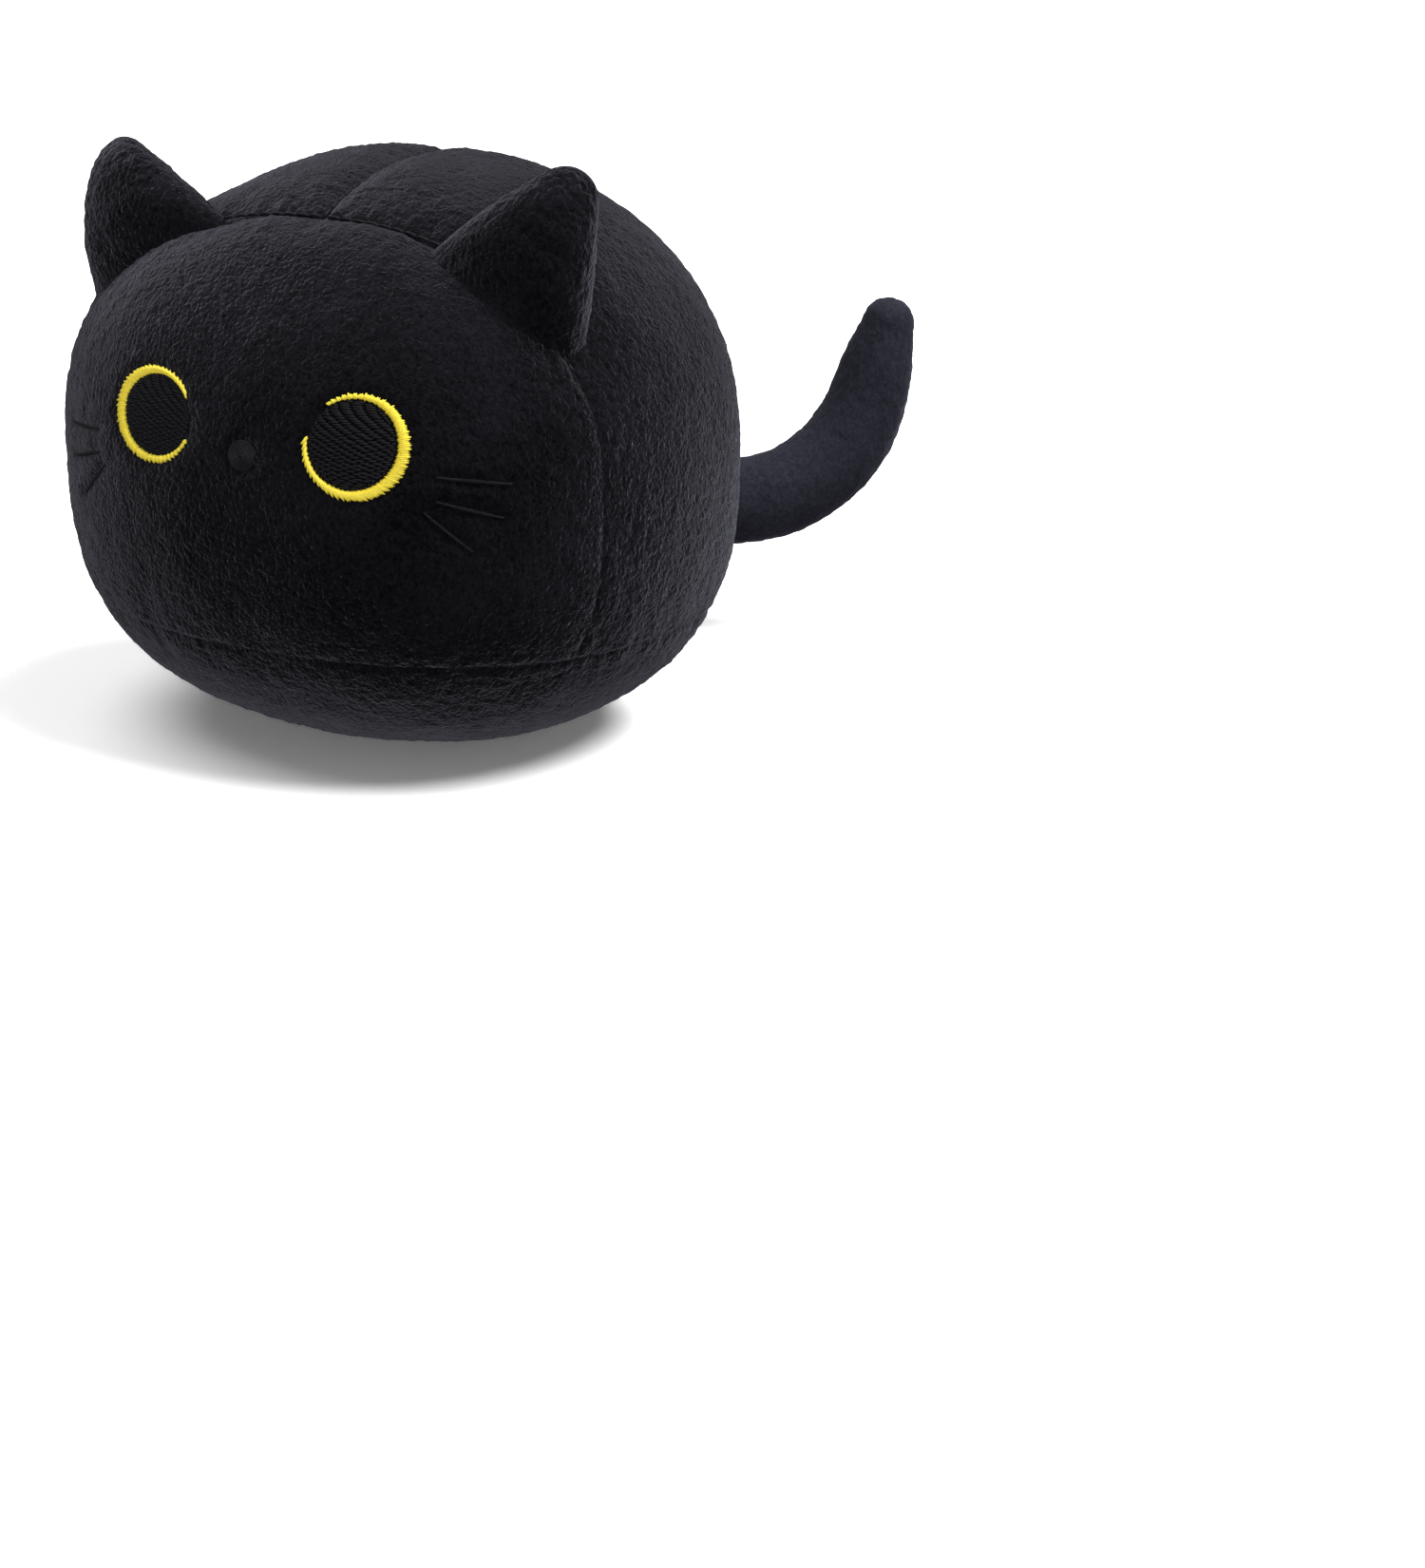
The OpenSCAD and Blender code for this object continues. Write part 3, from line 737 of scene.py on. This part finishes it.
def make_seams():
    c = seam_curves()
    whole = {
        "face_seam": [c["arch"], mirrored(c["arch"])],
        "centre_seam": [c["centre"]],
        "base_seam": [c["front"], c["side"], mirrored(c["side"])],
    }
    for name, curves in whole.items():
        stitches = [t for curve in curves for t in running_stitches(curve, SEAM_THREAD_DEEP)]
        thread_object(name + "_stitches", stitches, name + "_thread", BLACK_THREAD)


body_filling()
make_seams()


# ---- Embroidered face ----

class Face:
    """The visible surface of the face, reached from straight in front."""

    def __init__(self, obj):
        mesh = obj.data
        quads = [tuple(p.vertices) for p in mesh.polygons]
        self.tree = BVHTree.FromPolygons([v.co for v in mesh.vertices], quads)

    def at(self, x, z, lift):
        """The point at a side distance and height, raised off the surface, and the way out of the surface."""
        hit, _, _, _ = self.tree.ray_cast(Vector((x, -0.3, z + WIDEST_Z)), Vector((0, 1, 0)))
        p = np.array(hit)
        n = body_normal(p - CENTRE)
        return p + n * lift, n

    def path(self, flat, lifts):
        both = [self.at(x, z, lift) for (x, z), lift in zip(flat, lifts)]
        return np.array([b[0] for b in both]), np.array([b[1] for b in both])


rng = np.random.default_rng(11)


def satin(face, starts, ends, rise, radius, steps=6):
    """Threads laid side by side from one edge of a stroke to the other, arched over its middle."""
    out = []
    t = np.linspace(0, 1, steps)
    for a, b in zip(starts, ends):
        height = rise * np.sin(math.pi * t) ** 0.7 * min(1, np.linalg.norm(b - a) / (2.5 * MM)) + 0.1 * MM
        path, normals = face.path(mix(a, b, t[:, None]), height)
        out.append(thread(path, normals, radius * rng.uniform(0.92, 1.08)))
    return out


def eye_circles(side):
    mid = np.array(EYES[side])
    gap_at, gap = (math.radians(v) for v in EYE_GAPS[side])
    inner = mid + (STROKE - THIN_STROKE) / 2 * np.array([math.cos(gap_at), math.sin(gap_at)])
    return mid, inner, EYE_R[side] - (STROKE + THIN_STROKE) / 2, gap_at, gap


def ring_point(mid, r, flat, a):
    return mid + r * np.stack([np.cos(a), flat * np.sin(a)], -1)


def eye_outline(face, side):
    mid, inner, inner_r, gap_at, gap = eye_circles(side)
    pitch = 0.46 * MM
    outer_r, flat = EYE_R[side], EYE_FLAT[side]
    n = int((2 * math.pi - gap) * (outer_r - STROKE / 2) / pitch)
    a = gap_at + gap / 2 + (2 * math.pi - gap) * np.arange(n) / (n - 1)
    tooth = 0.26 * MM * np.sin(2 * math.pi * np.arange(n) / 3) + rng.normal(0, 0.14 * MM, n)
    lean = math.radians(5)
    outside = ring_point(mid, (outer_r + tooth)[:, None], flat, a + lean / 2)
    inside = ring_point(inner, (inner_r - 0.5 * tooth - 0.1 * MM)[:, None], flat, a - lean / 2)
    return satin(face, inside, outside, 0.75 * MM, 0.3 * MM)


def filled_disc(face, mid, r, flat, pitch, length, rise):
    """Rows of short stitches that fill a disc."""
    out = []
    rows = int(2 * r * flat / pitch)
    for k in range(rows):
        z = mid[1] + (k + 0.5 - rows / 2) * pitch
        half = r * math.sqrt(max(0, 1 - ((z - mid[1]) / (r * flat)) ** 2))
        edges = np.arange(mid[0] - half - length * ((k * 0.37) % 1), mid[0] + half, length)
        for x in edges:
            a, b = max(x, mid[0] - half), min(x + length, mid[0] + half)
            if b - a < 0.4 * MM:
                continue
            t = np.linspace(0, 1, 5)
            flat_path = np.stack([mix(a, b, t), np.full(5, z) + rng.normal(0, 0.06 * MM)], -1)
            path, normals = face.path(flat_path, 0.12 * MM + rise * np.sin(math.pi * t))
            out.append(thread(path, normals, 0.37 * MM))
    return out


def spiral(face, mid, r, pitch, rise):
    """One thread wound from the rim of a small disc to its middle."""
    turns = r / pitch
    t = np.linspace(0, 1, int(turns * 22))
    reach_out = r * (1 - t) + 0.2 * MM
    a = 2 * math.pi * turns * t
    flat = np.stack([mid[0] + reach_out * np.cos(a), mid[1] + reach_out * np.sin(a)], -1)
    path, normals = face.path(flat, 0.2 * MM + rise * (1 - (reach_out / r) ** 2))
    return [thread(path, normals, 0.38 * MM)]


def whiskers(face, sign):
    out = []
    for ends in WHISKERS:
        a, b = np.array(ends) * MM
        way = (b - a) / np.linalg.norm(b - a)
        across = np.array([-way[1], way[0]])
        n = int(np.linalg.norm(b - a) / (0.45 * MM))
        t = np.arange(n) / (n - 1)
        half = WHISKER_W / 2 * (0.35 + 0.65 * np.sin(math.pi * t))[:, None]
        half = half + rng.normal(0, 0.05 * MM, (n, 1))
        line = mix(a, b, t[:, None])
        low, high = line - across * half - way * 0.4 * MM, line + across * half + way * 0.4 * MM
        out += satin(face, low * [sign, 1], high * [sign, 1], 0.4 * MM, 0.27 * MM, steps=5)
    return out


PUPIL_GAP = 0.5 * MM                 # between a pupil and the outline round it


def make_face():
    face = Face(body["face_panel"])
    for side in EYES:
        _, inner, inner_r, _, _ = eye_circles(side)
        thread_object(side + "_eye_satin", eye_outline(face, side), side + "_eye_outline",
                      YELLOW_THREAD)
        pupil = filled_disc(face, inner, inner_r - PUPIL_GAP, EYE_FLAT[side], pitch=0.62 * MM,
                            length=3.4 * MM, rise=0.3 * MM)
        thread_object(side + "_pupil_stitches", pupil, side + "_pupil", BLACK_THREAD)
        thread_object(side + "_whisker_stitches", whiskers(face, 1 if side == "left" else -1),
                      side + "_whiskers", BLACK_THREAD)
    nose = spiral(face, NOSE, NOSE_R, pitch=0.62 * MM, rise=0.8 * MM)
    thread_object("nose_stitches", nose, "nose", GREY_THREAD)


make_face()


# ---- Ears ----

EAR_ROWS, EAR_COLS = 36, 40
EAR_SINK = 4.5                       # depth of an ear's edge inside the seam, in millimetres
EAR_LINING = 2.0                     # depth of the filling below an ear's surface, in millimetres
FOOT_FADE, BACK_FOOT = 3.0, 0.3      # height at which an ear's foot fades, and the share of it at the back


def ear_outline(e, v):
    """Inner and outer edges of an ear at heights above its base: a triangle with a rounded tip."""
    inner, outer = -e["inner"] + e["lean_in"] * v, e["outer"] - e["lean_out"] * (v + e["drop"])
    apex = (e["inner"] + e["outer"] - e["lean_out"] * e["drop"]) / (e["lean_in"] + e["lean_out"])
    half = (math.atan(e["lean_in"]) + math.atan(e["lean_out"])) / 2
    skew = (math.atan(e["lean_out"]) - math.atan(e["lean_in"])) / 2
    away = e["tip_r"] / math.sin(half)
    tip_u = -e["inner"] + e["lean_in"] * apex
    cu, cv = tip_u + away * math.sin(skew), apex - away * math.cos(skew)
    height = cv + e["tip_r"]
    bow = np.sqrt(np.clip(e["tip_r"] ** 2 - (v - cv) ** 2, 0, None))
    round_in = v > cv + e["tip_r"] * math.sin(math.atan(e["lean_in"]))
    round_out = v > cv + e["tip_r"] * math.sin(math.atan(e["lean_out"]))
    return np.where(round_in, cu - bow, inner), np.where(round_out, cu + bow, outer), height


def ear_sheet(side, front, inset=0.0):
    """Points of an ear's front or back, from its base to its tip. An inset gives the filling's surface."""
    e = EARS[side]
    _, _, height = ear_outline(e, np.zeros(1))
    s = 1 - (1 - np.linspace(0, 1, EAR_ROWS)) ** 1.7
    v = s * height * (1 - 0.03 * inset)
    low, high, _ = ear_outline(e, v)
    mid, half = (low + high) / 2, np.maximum((high - low) / 2 - inset, 0)
    a = np.linspace(0, math.pi, EAR_COLS)
    u = mid[:, None] + half[:, None] * -np.cos(a)[None]
    deep = (e["front"] if front else e["back"]) - inset
    swell = 1 + e["bulge"] * np.sin(math.pi * np.clip(s * 2.2, 0, 1))
    thick = deep * np.clip(1 - s ** 1.6, 0, 1) ** 0.6 * swell
    out = thick[:, None] * np.sin(a)[None] ** 0.8
    foot = np.exp(-v / FOOT_FADE)[:, None] * (e["flare"] if front else BACK_FOOT * e["flare"])
    out = (out + foot * np.sin(a)[None]) * (1 if front else -1)
    drop = (-e["drop"] * smooth((u + 5) / 35)) * (1 - s)[:, None] ** 2
    rise = (v[:, None] + drop)[..., None]
    p = EAR_BASE + MM * (u[..., None] * EAR_ALONG + rise * EAR_UP + out[..., None] * EAR_FACING)
    shallow = EAR_SINK / (1 + 0.35 * e["flare"])
    sink = (mix(EAR_SINK, shallow, np.sin(a) ** 2) + inset)[:, None] * MM
    seat = on_body(p[0]) * (1 - sink / np.linalg.norm(p[0], axis=1, keepdims=True))
    p += (seat - p[0])[None] * ((1 - s) ** 3)[:, None, None]
    return p * [1 if side == "left" else -1, 1, 1]


def ear_piece(name, rows, inward):
    """A mesh of an ear's rows of points, whose quads keep their order where inward is true."""
    n, m, _ = rows.shape
    faces = grid_faces(n, m)
    piece = mesh_object(name, (rows + CENTRE).reshape(-1, 3), faces if inward else [f[::-1] for f in faces])
    bm = bmesh.new()
    bm.from_mesh(piece.data)
    bmesh.ops.remove_doubles(bm, verts=bm.verts, dist=0.05 * MM)
    bm.to_mesh(piece.data)
    bm.free()
    return piece


def make_ears():
    for side in EARS:
        ear = side + "_ear"
        for part, front in (("_front", True), ("_back", False)):
            piece = ear_piece(ear + part + "_plush", ear_sheet(side, front), front != (side == "left"))
            subdivide(piece, 1)
            p = points_of(piece)
            with_pile(piece, 0.35 * MM * grain(p, 9 * MM, 4.4), edge_share(piece, 2.5 * MM))
            paint(piece, PLUSH)
            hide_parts(ear + part)
            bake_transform(piece)
        inside = ear_sheet(side, True, EAR_LINING), ear_sheet(side, False, EAR_LINING)[:, ::-1][:, 1:]
        filling = ear_piece(ear + "_filling", np.concatenate(inside, axis=1), side == "left")
        paint(filling, FILLING)
        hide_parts(ear + "_stuffing")
        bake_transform(filling)


make_ears()


# ---- Tail ----

TAIL_HINGE = np.array(joints["tail_swing"]["pos_m"])
TAIL_WAY = np.array([math.sin(math.radians(50)), math.cos(math.radians(50)), 0])
BEND_AT = float(np.dot(np.array(joints["tail_bend"]["pos_m"]) - TAIL_HINGE, TAIL_WAY))
STRAIGHT, CURL_R, CURL, END = 69.5 * MM, 45 * MM, math.radians(77), 23 * MM
TAIL_ALL = STRAIGHT + CURL_R * CURL + END
TAIL_R, TIP_R, TAPER_AT, TAPER = 14.2 * MM, 8.9 * MM, 90 * MM, 3
ROOT_THIN, ROOT_TALL, ROUND_AT = 4 * MM, 17 * MM, 22 * MM
SINK = 9 * MM                        # how far the tail's root is carried into the body's surface
PART_AT = 34 * MM                    # where the root's piece ends and the tip's begins
TAIL_SIDES = 76
ROOT_TURN = 10 * MM                  # the tail turns out of the body within this distance of its hinge
ROOT_BLEND, BEND_BLEND = 14 * MM, 13 * MM     # distances past the hinge, and to each side of the bend; the spans made from them are not used
UP = np.array([0.0, 0.0, 1.0])


def tail_frame(s):
    """Middle, sideways and upward directions of the tail at a distance along it."""
    if s < ROOT_TURN:
        t = (s + SINK) / (ROOT_TURN + SINK)
        a, c = TAIL_HINGE - [0, SINK, 0], TAIL_HINGE + TAIL_WAY * ROOT_TURN
        mid = (1 - t) ** 2 * a + 2 * t * (1 - t) * TAIL_HINGE + t * t * c
        ahead = unit((1 - t) * (TAIL_HINGE - a) + t * (c - TAIL_HINGE))
        return mid, np.array([ahead[1], -ahead[0], 0]), UP
    turn = min(max(s - STRAIGHT, 0), CURL_R * CURL) / CURL_R
    rest = max(s - STRAIGHT - CURL_R * CURL, 0)
    mid = (TAIL_HINGE + TAIL_WAY * (min(s, STRAIGHT) + CURL_R * math.sin(turn) + rest * math.cos(turn))
           + UP * (CURL_R * (1 - math.cos(turn)) + rest * math.sin(turn)))
    across = np.array([TAIL_WAY[1], -TAIL_WAY[0], 0])
    return mid, across, -TAIL_WAY * math.sin(turn) + UP * math.cos(turn)


def tail_sizes(s):
    """Half thickness and half height of the tail."""
    if s <= ROUND_AT:
        t = math.sin(math.pi / 2 * max(s, 0) / ROUND_AT)
        return mix(ROOT_THIN, TAIL_R, t), mix(ROOT_TALL, TAIL_R, t)
    r = mix(TAIL_R, TIP_R, min(1, max(0, (s - TAPER_AT) / (TAIL_ALL - TAPER_AT))) ** TAPER)
    if s > TAIL_ALL:
        r = math.sqrt(max(TIP_R ** 2 - (s - TAIL_ALL) ** 2, 0))
    return r, r


def tail_rows(start, end, share):
    """Rings of points along the tail, gathered at its root. A share below 1 gives the filling."""
    n = int((end - start) / (1.25 * MM))
    s = np.linspace(start, end, n + 1)
    if end > TAIL_ALL:
        cap_at = TAIL_ALL + share * TIP_R * np.sin(np.linspace(0, math.pi / 2, 12))
        s = np.concatenate([np.linspace(start, TAIL_ALL, n - 8)[:-1], cap_at])
    a = 2 * math.pi * np.arange(TAIL_SIDES) / TAIL_SIDES
    rows = []
    for at in s:
        mid, across, up = tail_frame(at)
        wide, tall = tail_sizes(at)
        gather = 1 + 0.10 * math.exp(-max(at, 0) / (7 * MM)) * np.sin(9 * a + 1.3 * np.sin(2 * a))
        seam = 1 - 0.07 * np.exp(-((a - math.pi) / 0.09) ** 2)
        k = share * gather * seam
        rows.append(mid + np.outer(k * wide * np.cos(a), across) + np.outer(k * tall * np.sin(a), up))
    return np.array(rows)


def tail_piece(name, start, end, share):
    rows = tail_rows(start, end, share)
    n = len(rows)
    faces = grid_faces(n, TAIL_SIDES, closed=True)
    if end > TAIL_ALL:
        faces.append(tuple((n - 1) * TAIL_SIDES + i for i in range(TAIL_SIDES)))
    piece = mesh_object(name, rows.reshape(-1, 3), faces)
    bm = bmesh.new()
    bm.from_mesh(piece.data)
    bmesh.ops.remove_doubles(bm, verts=bm.verts, dist=0.02 * MM)
    bmesh.ops.recalc_face_normals(bm, faces=bm.faces)
    bm.to_mesh(piece.data)
    bm.free()
    return piece


TAIL_FILLING = 0.8                   # thickness of the filling beside the tail's


def make_tail():
    tip_end = TAIL_ALL + TIP_R
    root = (TAIL_HINGE - [0, 6 * MM, 0], TAIL_HINGE + TAIL_WAY * ROOT_BLEND)
    bend = (tail_frame(BEND_AT - BEND_BLEND)[0], tail_frame(BEND_AT + BEND_BLEND)[0])
    pieces = (
        ("tail_root", -SINK, PART_AT, "body", "tail_root", root),
        ("tail_tip", PART_AT, tip_end, "tail_root", "tail_tip", bend),
    )
    for name, start, end, first, second, where in pieces:
        cover = tail_piece(name + "_plush", start, end, 1.0)
        p = points_of(cover)
        with_pile(cover, 0.5 * MM * grain(p, 16 * MM, 6.1))
        paint(cover, TAIL_PLUSH)
        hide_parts(name + "_cover")
        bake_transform(cover)
        filling = tail_piece(name + "_filling", start, end, TAIL_FILLING)
        paint(filling, FILLING)
        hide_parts(name + "_stuffing")
        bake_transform(filling)


make_tail()


# ---- Camera, lights and floor ----

VIEW_TURN, VIEW_RISE, VIEW_ROLL = math.radians(29.65), math.radians(13.0), math.radians(0.5)
VIEW_DISTANCE = 892 * MM             # from the body's centre
AIM_RIGHT, AIM_DOWN = math.radians(5.65), math.radians(6.72)
LENS = 67.84


def make_camera():
    data = bpy.data.cameras.new("camera")
    data.lens = LENS
    camera = bpy.data.objects.new("camera", data)
    bpy.context.scene.collection.objects.link(camera)
    back = Vector((math.sin(VIEW_TURN) * math.cos(VIEW_RISE), -math.cos(VIEW_TURN) * math.cos(VIEW_RISE),
                   math.sin(VIEW_RISE)))
    right = Vector((math.cos(VIEW_TURN), math.sin(VIEW_TURN), 0))
    up = right.cross(-back)
    ahead = -back * math.cos(AIM_RIGHT) + right * math.sin(AIM_RIGHT)
    right = right * math.cos(AIM_RIGHT) + back * math.sin(AIM_RIGHT)
    ahead, up = (ahead * math.cos(AIM_DOWN) - up * math.sin(AIM_DOWN),
                 up * math.cos(AIM_DOWN) + ahead * math.sin(AIM_DOWN))
    right, up = (right * math.cos(VIEW_ROLL) + up * math.sin(VIEW_ROLL),
                 up * math.cos(VIEW_ROLL) - right * math.sin(VIEW_ROLL))
    m = camera.matrix_world.copy()
    for i in range(3):
        m[i][0], m[i][1], m[i][2] = right[i], up[i], -ahead[i]
    m.translation = Vector(CENTRE) + back * VIEW_DISTANCE
    camera.matrix_world = m
    bpy.context.scene.camera = camera


SUNS = {                             # direction it comes from, strength, and softness in degrees
    "right_sky": ((0.55, 0.2, 1.0), 4.1, 34),
    "left_sky": ((-0.5, 0.0, 1.0), 1.4, 45),
    "front": ((0.6, -1.0, 0.1), 2.2, 30),
}

SKY_SEEN, SKY_LIGHT = 1.0, 0.15      # the white sky's strength as seen, and as it lights the cat
FLOOR_SEEN, FLOOR_BOUNCE = 1.55, 0.1          # the floor's brightness as seen, and as it lights the cat
FLOOR_HALF = 6                       # half the side of the floor, in metres


def make_studio():
    for name, (way, strength, soft) in SUNS.items():
        data = bpy.data.lights.new(name, "SUN")
        data.energy, data.angle = strength, math.radians(soft)
        lamp = bpy.data.objects.new(name, data)
        lamp.rotation_mode = "QUATERNION"
        lamp.rotation_quaternion = (-Vector(way)).to_track_quat("-Z", "Y")
        bpy.context.scene.collection.objects.link(lamp)
    world = bpy.data.worlds.new("studio")
    world.use_nodes = True
    nodes, links = world.node_tree.nodes, world.node_tree.links
    seen = nodes.new("ShaderNodeLightPath")
    strength = nodes.new("ShaderNodeMapRange")
    strength.inputs["To Min"].default_value = SKY_LIGHT
    strength.inputs["To Max"].default_value = SKY_SEEN
    links.new(seen.outputs["Is Camera Ray"], strength.inputs["Value"])
    links.new(strength.outputs["Result"], nodes["Background"].inputs["Strength"])
    nodes["Background"].inputs["Color"].default_value = (1, 1, 1, 1)
    bpy.context.scene.world = world
    bpy.context.scene.view_settings.view_transform = "Standard"
    mat, nodes, links, _ = new_material("floor")
    seen = nodes.new("ShaderNodeLightPath")
    shade = nodes.new("ShaderNodeMapRange")
    shade.inputs["To Min"].default_value = FLOOR_BOUNCE
    shade.inputs["To Max"].default_value = FLOOR_SEEN
    paper = nodes.new("ShaderNodeBsdfDiffuse")
    links.new(seen.outputs["Is Camera Ray"], shade.inputs["Value"])
    links.new(shade.outputs["Result"], paper.inputs["Color"])
    links.new(paper.outputs["BSDF"], nodes["Material Output"].inputs["Surface"])
    corners = [(x * FLOOR_HALF, y * FLOOR_HALF, 0) for x, y in ((-1, -1), (1, -1), (1, 1), (-1, 1))]
    floor = mesh_object("floor", corners, [(0, 1, 2, 3)])
    floor.data.materials.append(mat)


make_camera()
make_studio()
